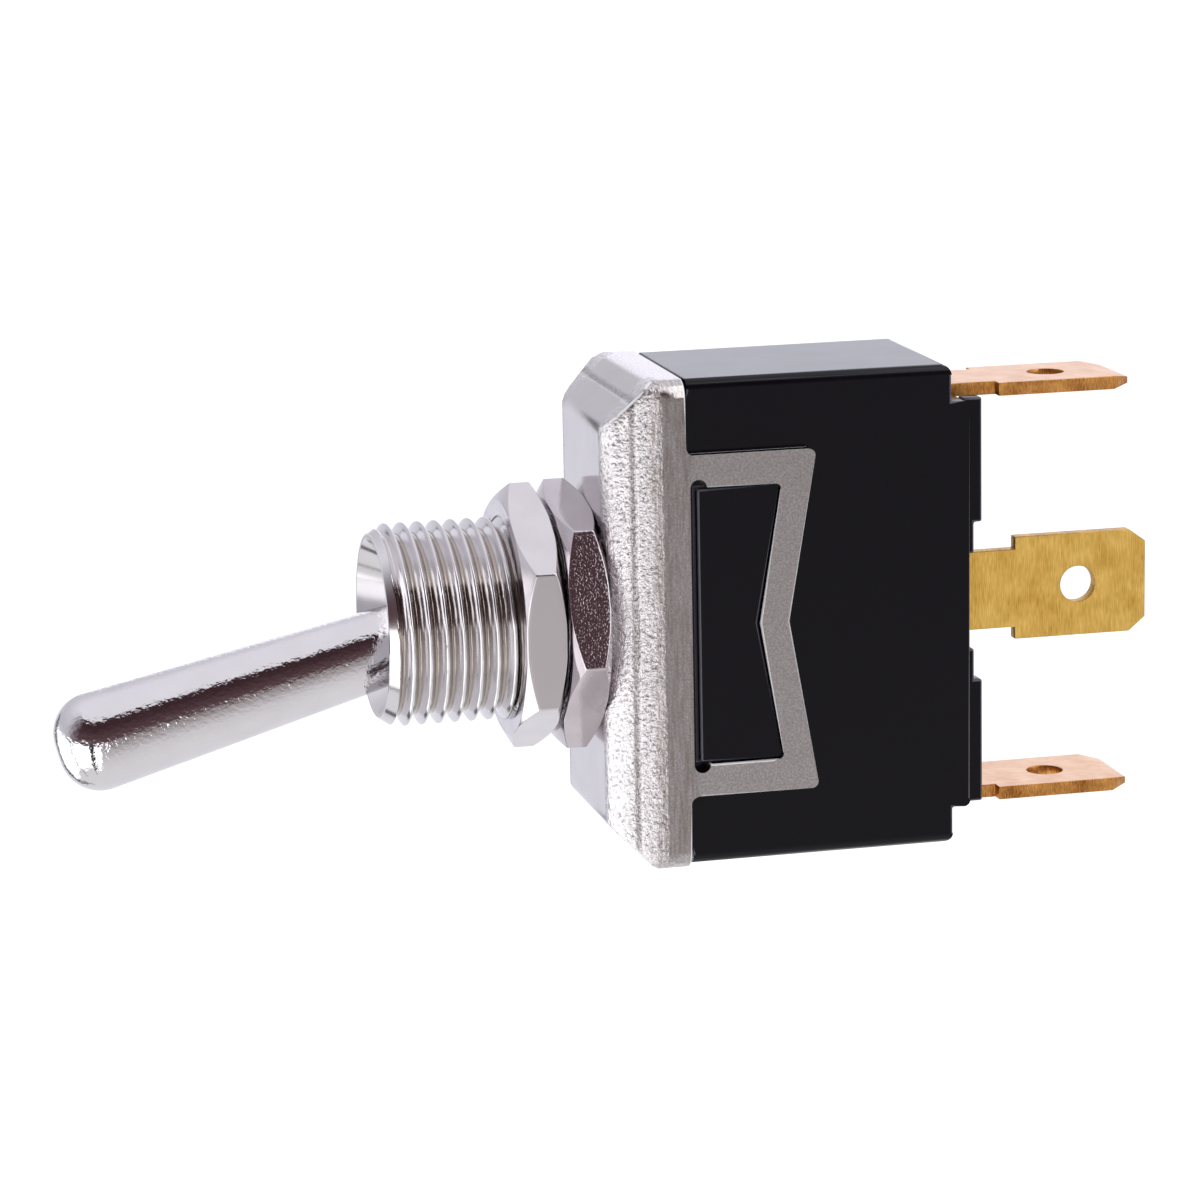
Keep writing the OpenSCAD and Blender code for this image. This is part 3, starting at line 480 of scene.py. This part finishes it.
def hexagon(turn):
    """Radius of a hexagon with rounded corners at each angle, counted from the middle of a flat."""
    off_flat = np.abs((turn + HALF_SIDE) % (2 * HALF_SIDE) - HALF_SIDE)
    off_corner = HALF_SIDE - off_flat
    corner_centre = (NUT_HALF_FLATS - NUT_CORNER_ROUND) / math.cos(HALF_SIDE)
    inside = np.maximum(NUT_CORNER_ROUND ** 2 - (corner_centre * np.sin(off_corner)) ** 2, 0)
    on_arc = corner_centre * np.cos(off_corner) + np.sqrt(inside)
    on_flat = NUT_HALF_FLATS / np.cos(off_flat)
    touches = NUT_HALF_FLATS * math.tan(HALF_SIDE) - NUT_CORNER_ROUND * math.tan(HALF_SIDE)
    return np.where(NUT_HALF_FLATS * np.tan(off_flat) > touches, on_arc, on_flat)


def nut_half(turn, thickness):
    """Rows (radius, depth) of half a nut, from its thread's chamfer over its face to its middle.

    Every edge is a round of the same radius, so each row is a corner of the section drawn in by
    that radius plus a normal that swings from one face to the next.
    """
    e = NUT_EDGE_ROUND
    side = hexagon(turn)
    rise = math.tan(HALF_SIDE)
    face_end = np.minimum(NUT_HALF_FLATS - e * (1 / math.cos(HALF_SIDE) - 1) / rise, side - e)
    cone_end = np.maximum((side - e - NUT_HALF_FLATS) * rise + e / math.cos(HALF_SIDE), e)
    chamfer = THREAD_RADIUS + NUT_MOUTH
    rows = [(0 * side + chamfer + (face_end - chamfer) * t, 0 * side) for t in np.linspace(0, 1, 5)]
    for swing in np.radians(np.linspace(0, 30, 4)[1:]):
        rows.append((face_end + e * np.sin(swing), e - e * np.cos(swing) + 0 * side))
    for t in np.linspace(0, 1, 6)[1:]:
        corner_r = face_end + (side - e - face_end) * t
        corner_y = e + (cone_end - e) * t
        rows.append((corner_r + e * math.sin(HALF_SIDE), corner_y - e * math.cos(HALF_SIDE)))
    for swing in np.radians(np.linspace(30, 90, 6)[1:]):
        rows.append((side - e + e * np.sin(swing), cone_end - e * np.cos(swing)))
    middle = thickness / 2
    for t in np.linspace(0, 1, 5)[1:]:
        rows.append((side, cone_end + (middle - cone_end) * t))
    return np.array([r for r, y in rows]), np.array([y for r, y in rows])


# columns stand closer together at the corners
sector = np.radians(np.concatenate([
    np.linspace(-30, -27.5, 7)[:-1], np.linspace(-27.5, 27.5, 23)[:-1], np.linspace(27.5, 30, 7)[:-1]]))
flat_turns = np.concatenate([sector + k * 2 * HALF_SIDE for k in range(6)])
for node, nut_turn in NUT_TURNS.items():
    low, high = (np.array(corner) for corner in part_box(node))
    thick = high[1] - low[1]
    half_r, half_y = nut_half(flat_turns, thick)
    bore_y = np.linspace(thick, 0, 56)
    ring = flat_turns + nut_turn
    depth = groove(ring[None, :], low[1] + bore_y[:, None])
    bore_r = THREAD_RADIUS + THREAD_CLEARANCE - THREAD_DEPTH * depth
    sink = THREAD_RADIUS + NUT_MOUTH - np.minimum(bore_y, thick - bore_y)
    bore_r = np.maximum(bore_r, sink[:, None])
    rows_r = np.concatenate([half_r, half_r[::-1][1:], bore_r[1:-1]])
    bore_rows = np.repeat(bore_y[1:-1, None], len(ring), 1)
    rows_y = np.concatenate([half_y, thick - half_y[::-1][1:], bore_rows])
    points = np.stack([rows_r * np.cos(ring), low[1] + rows_y, rows_r * np.sin(ring)], -1)
    nut = skin(node.replace("_nut", "_hexagon_nut"), points, rows_close=True)
    nut.data.set_sharp_from_angle(angle=CREASE_ANGLE)
    nut.data.materials.append(NUT_PLATES[node])
    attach(nut, "base")
    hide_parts(node)

# --- Mounting frame ----------------------------------------------------------------------------
# A shallow cup drawn from steel strip, with sloped ends and two ears that snap over the case. The
# plating is satin: the sheet keeps its rolled grain, and the bends are stretched to a coarse peel.

FRAME_EDGE_ROUND = 0.11 * MM
CUP_DEPTH = 4.7 * MM
PUNCH_LINE = 1.60 * MM
DIE_ROUND = 0.75 * MM
PEEL_SIZE = 0.27 * MM
PEEL_HEIGHT = 100e-6
LINE_DEPTH = 80e-6
SPECKLE_SIZE = 0.13 * MM
STREAK_WIDTH = 0.16 * MM


def merged_copy(node):
    """A bmesh of a CAD node in which the points that lie together are one."""
    cage = bmesh.new()
    cage.from_mesh(frame["nodes"][node].data)
    bmesh.ops.remove_doubles(cage, verts=cage.verts, dist=1e-7)
    return cage


def smooth_piece(name, cage):
    """An object made from a bmesh, with smooth shading."""
    mesh = bpy.data.meshes.new(name)
    cage.to_mesh(mesh)
    cage.free()
    mesh.shade_smooth()
    piece = bpy.data.objects.new(name, mesh)
    scene.collection.objects.link(piece)
    return piece


def eased(node, name, width, reshape=None):
    """A copy of a CAD node, merged and with its flat faces joined, whose sharp edges get a round.

    The rounds take the piece's second material, which on the frame and the case is paler, a painted
    highlight along the edges.
    bright. Edges shorter than the round is wide, as on a curved outline, stay as they are.
    """
    cage = merged_copy(node)
    bmesh.ops.dissolve_limit(
        cage, angle_limit=math.radians(0.5), verts=cage.verts, edges=cage.edges)
    if reshape:
        reshape(cage)
    for face in cage.faces:
        face.material_index = 0
    sharp = [edge for edge in cage.edges if len(edge.link_faces) == 2
             and edge.calc_face_angle() > SHARP_ANGLE and edge.calc_length() > width]
    bmesh.ops.bevel(
        cage, geom=sharp, offset=width, offset_type="OFFSET", segments=2, profile=0.5,
        affect="EDGES", clamp_overlap=False, loop_slide=False, material=1)
    piece = smooth_piece(name, cage)
    piece.data.set_sharp_from_angle(angle=SHARP_ANGLE)
    weighted = piece.modifiers.new("flat faces stay flat", "WEIGHTED_NORMAL")
    weighted.keep_sharp = True
    return piece


mounting_frame = eased("mounting_frame", "frame", FRAME_EDGE_ROUND)
frame_low, frame_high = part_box("mounting_frame")
# satin plate: it scatters the light, with grain along the strip
frame_plate, tree, shader = nickel_plate(
    "frame_satin_nickel_plate", "D9D5D6", "CCC8C9", 0.11, 0.10, 4.0e-6, lay=(1, 1, 0.15))
place = add(tree, "ShaderNodeTexCoord").outputs["Object"]
parts = add(tree, "ShaderNodeSeparateXYZ", {"Vector": place})
beside = add(tree, "ShaderNodeMath", {0: parts.outputs["X"]}, operation="ABSOLUTE").outputs[0]
behind_front = add(tree, "ShaderNodeMath", {
    0: parts.outputs["Y"], 1: frame_low[1]}, operation="SUBTRACT").outputs[0]
on_cup = between(tree, behind_front, 0.0, CUP_DEPTH - 1.0 * MM, 0.5 * MM)
# the drawing die leaves faint brown streaks down the sides of the cup
drawn = add(tree, "ShaderNodeMapping", {"Vector": place, "Scale": (1, 1, 0.10)})
streaks = add(tree, "ShaderNodeTexNoise", {
    "Vector": drawn.outputs["Vector"], "Scale": 1 / STREAK_WIDTH, "Detail": 2.0, "Roughness": 0.6})
streaked = add(tree, "ShaderNodeMapRange", {
    "Value": streaks.outputs["Fac"], "From Min": 0.35, "From Max": 0.70, "To Max": 0.8})
on_side = between(tree, behind_front, 2.8 * MM, CUP_DEPTH + 0.2 * MM, 0.4 * MM)
streaked_side = add(tree, "ShaderNodeMath", {
    0: streaked.outputs[0], 1: on_side}, operation="MULTIPLY")
colour = add(tree, "ShaderNodeMix", {
    "Factor": streaked_side.outputs[0], 6: shader.inputs["Base Color"].links[0].from_socket,
    7: linear("A0968F")}, data_type="RGBA")
tree.links.new(colour.outputs[2], shader.inputs["Base Color"])
# the die rounds every crease of the cup, while the cut edges of the strip stay crisp
drawn_round = add(tree, "ShaderNodeBevel", {"Radius": DIE_ROUND}, samples=8)
flat_normal = add(tree, "ShaderNodeNewGeometry").outputs["Normal"]
blended = add(tree, "ShaderNodeMix", {
    "Factor": on_cup, 4: flat_normal, 5: drawn_round.outputs["Normal"]}, data_type="VECTOR")
# where the sheet is stretched round the long bends its skin is coarse
outward = between(tree, beside, 4.9 * MM, frame_high[0] + 0.1 * MM, 0.7 * MM)
on_bend = between(tree, behind_front, 0.0, 3.1 * MM, 0.3 * MM)
stretched = add(tree, "ShaderNodeMath", {0: outward, 1: on_bend}, operation="MULTIPLY")
peel = add(tree, "ShaderNodeTexNoise", {
    "Vector": place, "Scale": 1 / PEEL_SIZE, "Detail": 3.0, "Roughness": 0.6})
skin_strength = add(tree, "ShaderNodeMapRange", {
    "Value": stretched.outputs[0], "To Min": 0.06, "To Max": 1.0})
fine_relief = shader.inputs["Normal"].links[0].from_node
tree.links.new(blended.outputs[1], fine_relief.inputs["Normal"])
peel_relief = add(tree, "ShaderNodeBump", {
    "Height": peel.outputs["Fac"], "Strength": skin_strength.outputs[0], "Distance": PEEL_HEIGHT,
    "Normal": fine_relief.outputs["Normal"]})
# the punch leaves a shallow line along each long bend
line = between(tree, behind_front, PUNCH_LINE - 0.02 * MM, PUNCH_LINE + 0.02 * MM, 0.26 * MM)
line_relief = add(tree, "ShaderNodeBump", {
    "Height": line, "Strength": 1.0, "Distance": LINE_DEPTH,
    "Normal": peel_relief.outputs["Normal"]}, invert=True)
tree.links.new(line_relief.outputs["Normal"], shader.inputs["Normal"])
# painted shade darkens that line, the ears and the sides behind the bend are speckled, and painted
# shade darkens the pits in the coarse skin
speckle = add(tree, "ShaderNodeTexNoise", {
    "Vector": place, "Scale": 1 / SPECKLE_SIZE, "Detail": 2.0})
speckled = add(tree, "ShaderNodeMapRange", {
    "Value": speckle.outputs["Fac"], "From Min": 0.35, "From Max": 0.65, "To Min": 0.2, "To Max": 0.62})
behind_bend = add(tree, "ShaderNodeMapRange", {
    "Value": behind_front, "From Min": 2.9 * MM, "From Max": 3.3 * MM})
on_flank = between(tree, beside, frame_high[0] - 0.15 * MM, frame_high[0], 0.2 * MM)
satin_part = add(tree, "ShaderNodeMath", {
    0: behind_bend.outputs[0], 1: on_flank}, operation="MULTIPLY")
satin_share = add(tree, "ShaderNodeMath", {
    0: speckled.outputs[0], 1: satin_part.outputs[0]}, operation="MULTIPLY")
# painted shade in the punch line, broken up by the speckle
line_shade_speckle = add(tree, "ShaderNodeMapRange", {
    "Value": speckle.outputs["Fac"], "From Min": 0.35, "From Max": 0.55, "To Min": 0.85, "To Max": 0.35})
line_shade = add(tree, "ShaderNodeMath", {0: line, 1: line_shade_speckle.outputs[0]}, operation="MULTIPLY")
satin = add(tree, "ShaderNodeMix", {
    "Factor": satin_share.outputs[0], 6: colour.outputs[2], 7: linear("8E8887")}, data_type="RGBA")
# painted shade in the hollows of the peel on the stretched bends
pitted = add(tree, "ShaderNodeMapRange", {
    "Value": peel.outputs["Fac"], "From Min": 0.44, "From Max": 0.34, "To Max": 0.5})
pit_share = add(tree, "ShaderNodeMath", {
    0: pitted.outputs[0], 1: stretched.outputs[0]}, operation="MULTIPLY")
pit_shade = add(tree, "ShaderNodeMix", {
    "Factor": pit_share.outputs[0], 6: satin.outputs[2], 7: linear("575150")}, data_type="RGBA")
lined = add(tree, "ShaderNodeMix", {
    "Factor": line_shade.outputs[0], 6: pit_shade.outputs[2], 7: linear("5C5450")},
    data_type="RGBA")
tree.links.new(lined.outputs[2], shader.inputs["Base Color"])
mounting_frame.data.materials.append(frame_plate)
# painted highlight: the rounded edges take a paler, half-metallic plate that scatters light, and so they
# are pale from every side
nickel_edge_highlight, tree, shader = nickel_plate(
    "nickel_edge_painted_highlight", "FAF8F7", "EEECEB", 0.40, 0.10, 1.0e-6)
shader.inputs["Metallic"].default_value = 0.35
mounting_frame.data.materials.append(nickel_edge_highlight)
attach(mounting_frame, "base")
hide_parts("mounting_frame")

# --- Case --------------------------------------------------------------------------------------
# Moulded black phenolic with a faint violet cast, glossy where it flowed against the mould, with
# a painted highlight of paler grey on its sharp edges. A boss on each wide side stands in the window of
# the frame's ear.

CASE_EDGE_ROUND = 0.13 * MM
FILLER_SIZE = 0.22 * MM
FLOW_SIZE = 4 * MM
FILLER_HEIGHT = 1.2e-6
STEP_REACH = 0.12 * MM

case_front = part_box("case")[0][1]
frame_rim_y = frame_low[1] + CUP_DEPTH
RIM_GAP = 0.22 * MM


def moved_step(cage):
    """Moves the case's step a little behind the rim of the cup, which leaves a dark open line."""
    for vertex in cage.verts:
        if abs(vertex.co.y - frame_rim_y) < STEP_REACH:
            vertex.co.y += RIM_GAP


def phenolic_skin(name, light, dark, gloss, ior):
    """Black phenolic: fine wood-flour filler under a thin glossy skin that flowed in the mould.

    The neck that stands in the cup has no gloss, so the line beside the cup's rim stays dark.
    """
    finish, tree, shader = new_material(name)
    place = add(tree, "ShaderNodeTexCoord").outputs["Object"]
    filler = add(tree, "ShaderNodeTexNoise", {
        "Vector": place, "Scale": 1 / FILLER_SIZE, "Detail": 3.0})
    flow = add(tree, "ShaderNodeTexNoise", {"Vector": place, "Scale": 1 / FLOW_SIZE, "Detail": 2.0})
    colour = add(tree, "ShaderNodeMix", {
        "Factor": filler.outputs["Fac"], 6: linear(light), 7: linear(dark)}, data_type="RGBA")
    skin_gloss = add(tree, "ShaderNodeMapRange", {
        "Value": flow.outputs["Fac"], "From Min": 0.3, "From Max": 0.7,
        "To Min": gloss * 0.85, "To Max": gloss * 1.15})
    relief = add(tree, "ShaderNodeBump", {
        "Height": filler.outputs["Fac"], "Strength": 1.0, "Distance": FILLER_HEIGHT})
    neck_limit = frame_rim_y + RIM_GAP
    length = add(tree, "ShaderNodeSeparateXYZ", {"Vector": place}).outputs["Y"]
    in_cup = between(tree, length, case_front, neck_limit - 0.02 * MM, 0.01 * MM)
    dulled = add(tree, "ShaderNodeMath", {
        0: skin_gloss.outputs["Result"], 1: in_cup}, operation="MAXIMUM")
    set_inputs(tree, shader, {
        "Base Color": colour.outputs[2], "Roughness": dulled.outputs[0], "IOR": ior,
        "Normal": relief.outputs["Normal"]})
    return finish


case = eased("case", "moulded_case", CASE_EDGE_ROUND, moved_step)
# the skin is near black with a weak, fairly sharp reflection
case.data.materials.append(phenolic_skin("black_phenolic", "04030A", "0A0812", 0.15, 1.31))
# painted highlight: the rounded edges are grey, with a broad soft highlight along them
case.data.materials.append(phenolic_skin("phenolic_edge_painted_highlight", "403E49", "5A5863", 0.30, 1.45))
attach(case, "base")
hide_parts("case")

# --- Terminals ---------------------------------------------------------------------------------
# Blanked from rolled strip and bent at the foot. The end ones are of a pinkish bronze and the centre
# one is of brass, and all show rough, redder metal where the strip was sheared.

TERMINAL_EDGE_ROUND = 0.05 * MM
STRIP_GRAIN = 0.09 * MM
STRIP_STAIN = 1.5 * MM
FACE_LIMIT = 0.8


def rolled_strip(name, light, dark, sheen, depth, lay):
    """Rolled strip: a dull metal face with fine grain along the way that the strip was rolled."""
    finish, tree, shader = new_material(name)
    place = add(tree, "ShaderNodeTexCoord").outputs["Object"]
    laid = add(tree, "ShaderNodeMapping", {"Vector": place, "Scale": lay})
    grain = add(tree, "ShaderNodeTexNoise", {
        "Vector": laid.outputs["Vector"], "Scale": 1 / STRIP_GRAIN, "Detail": 3.0})
    tone_shift = add(tree, "ShaderNodeTexNoise", {
        "Vector": place, "Scale": 1 / STRIP_STAIN, "Detail": 3.0})
    tone = add(tree, "ShaderNodeMath", {
        0: grain.outputs["Fac"], 1: tone_shift.outputs["Fac"]}, operation="ADD")
    spread = add(tree, "ShaderNodeMapRange", {
        "Value": tone.outputs[0], "From Min": 0.65, "From Max": 1.35})
    colour = add(tree, "ShaderNodeMix", {
        "Factor": spread.outputs["Result"], 6: linear(light), 7: linear(dark)}, data_type="RGBA")
    relief = add(tree, "ShaderNodeBump", {
        "Height": grain.outputs["Fac"], "Strength": 1.0, "Distance": depth})
    set_inputs(tree, shader, {
        "Base Color": colour.outputs[2], "Metallic": 1.0, "Roughness": sheen,
        "Normal": relief.outputs["Normal"]})
    return finish


def paint_sheared(piece, across):
    """Gives the second material to every face that doesn't look along the strip's thickness."""
    faces = piece.data.polygons
    normals = np.empty(3 * len(faces), np.float32)
    finishes = np.empty(len(faces), np.int32)
    faces.foreach_get("normal", normals)
    faces.foreach_get("material_index", finishes)
    finishes[np.abs(normals.reshape(-1, 3)[:, across]) < FACE_LIMIT] = 1
    faces.foreach_set("material_index", finishes)


# the faces are dull and pale with grain along the strip, the sheared edges dark, red and torn
bronze_face = rolled_strip("bronze_rolled_face", "EDCBA8", "D2A27A", 0.36, 3e-6, (1, 0.15, 1))
bronze_edge = rolled_strip("bronze_sheared_edge", "E8AC62", "8F5420", 0.38, 16e-6, (1, 1, 0.3))
brass_face = rolled_strip("brass_rolled_face", "FBD376", "CC9B40", 0.40, 5e-6, (1, 1, 0.12))
brass_edge = rolled_strip("brass_sheared_edge", "E8BE6C", "8E6426", 0.40, 14e-6, (0.3, 1, 1))
for node, across, face_finish, edge_finish in (
        ("upper_terminal", 2, bronze_face, bronze_edge),
        ("lower_terminal", 2, bronze_face, bronze_edge),
        ("centre_terminal", 0, brass_face, brass_edge)):
    terminal = eased(node, node.replace("terminal", "blade"), TERMINAL_EDGE_ROUND)
    terminal.data.materials.append(face_finish)
    terminal.data.materials.append(edge_finish)
    paint_sheared(terminal, across)
    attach(terminal, "base")
    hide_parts(node)

# --- Inner pieces ------------------------------------------------------------------------------
# The rocker, saddle and rivet are brass, the contacts silver, the pin and spring ground steel, the
# plunger moulded nylon and the sheet behind the bushing varnished paper. All keep the form of their
# solids, and the spring is drawn as a merged copy of its own.

GRAIN_HEIGHT = 2.0e-6


def plain_finish(name, light, dark, grain_mm, inputs):
    """A finish whose colour wanders between two tones over grain of a real size."""
    finish, tree, shader = new_material(name)
    place = add(tree, "ShaderNodeTexCoord").outputs["Object"]
    grain = add(tree, "ShaderNodeTexNoise", {
        "Vector": place, "Scale": 1 / (grain_mm * MM), "Detail": 3.0})
    colour = add(tree, "ShaderNodeMix", {
        "Factor": grain.outputs["Fac"], 6: linear(light), 7: linear(dark)}, data_type="RGBA")
    relief = add(tree, "ShaderNodeBump", {
        "Height": grain.outputs["Fac"], "Strength": 1.0, "Distance": GRAIN_HEIGHT})
    set_inputs(tree, shader, {
        "Base Color": colour.outputs[2], "Normal": relief.outputs["Normal"], **inputs})
    return finish


# silver is soft and white, steel cool and bright, nylon milky, and the paper brown and satin
silver = plain_finish("fine_silver", "EFEDE8", "DAD7D0", 0.3, {"Metallic": 1.0, "Roughness": 0.28})
steel = plain_finish("ground_steel", "C9C8C8", "AFADAD", 0.2, {"Metallic": 1.0, "Roughness": 0.25})
nylon = plain_finish("natural_nylon", "EFEAD9", "E4DDC8", 0.8, {"Roughness": 0.4, "IOR": 1.53})
varnished_paper = plain_finish("varnished_paper", "A9845A", "8E6B45", 0.2, {"Roughness": 0.5})
for node, finish in (
        ("rocker", brass_face), ("fulcrum_saddle", brass_face), ("saddle_rivet", brass_face),
        ("upper_fixed_contact", silver), ("lower_fixed_contact", silver),
        ("upper_moving_contact", silver), ("lower_moving_contact", silver),
        ("pivot_pin", steel), ("plunger", nylon), ("insulator", varnished_paper)):
    solid = frame["nodes"][node]
    solid.data.materials.clear()
    solid.data.materials.append(finish)
# the spring is a merged copy of its solid
spring = smooth_piece("plunger_spring_coil", merged_copy("plunger_spring"))
spring.data.materials.append(steel)
spring_points = np.empty(3 * len(spring.data.vertices), np.float32)
spring.data.vertices.foreach_get("co", spring_points)
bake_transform(spring)
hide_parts("plunger_spring")
